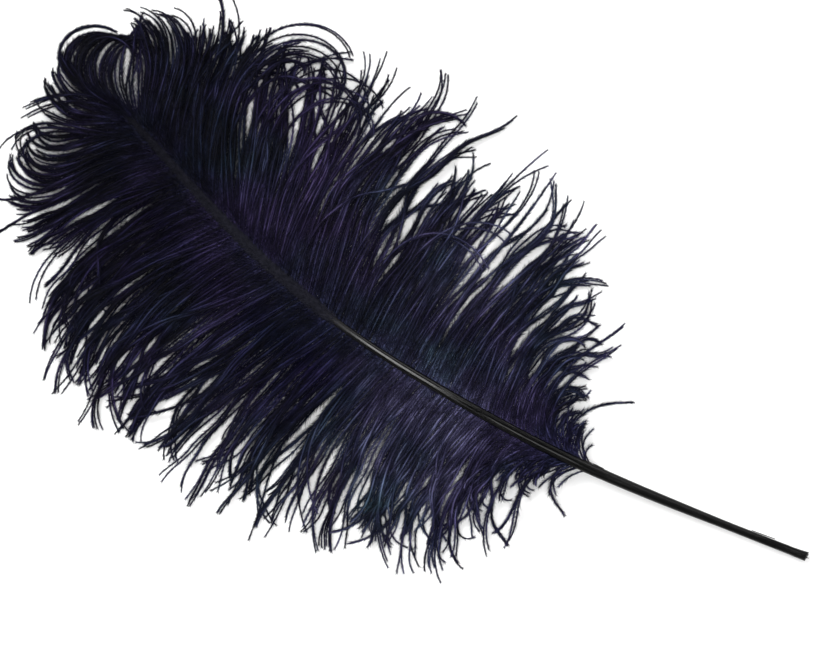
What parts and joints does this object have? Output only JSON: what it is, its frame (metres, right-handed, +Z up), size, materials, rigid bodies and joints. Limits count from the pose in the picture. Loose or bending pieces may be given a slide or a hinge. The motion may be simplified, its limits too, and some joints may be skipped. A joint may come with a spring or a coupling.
{
  "type": "ostrich feather",
  "caption": "Large soft plume dyed black, with a bare curved quill and two wide vanes of loose drooping barbs, lying flat.",
  "frame": {"origin": "middle of the whole plume's footprint, on the surface it lies on", "axes": "+X along the feather towards the cut end of the quill, +Y towards the right vane, +Z up"},
  "size_m": [0.4184, 0.2184, 0.0134],
  "materials": {
    "horn": "satin",
    "plume": "matte"
  },
  "bodies": {
    "root": {"shaft": "horn", "right_vane": "plume", "left_vane": "plume"}
  },
  "joints": []
}
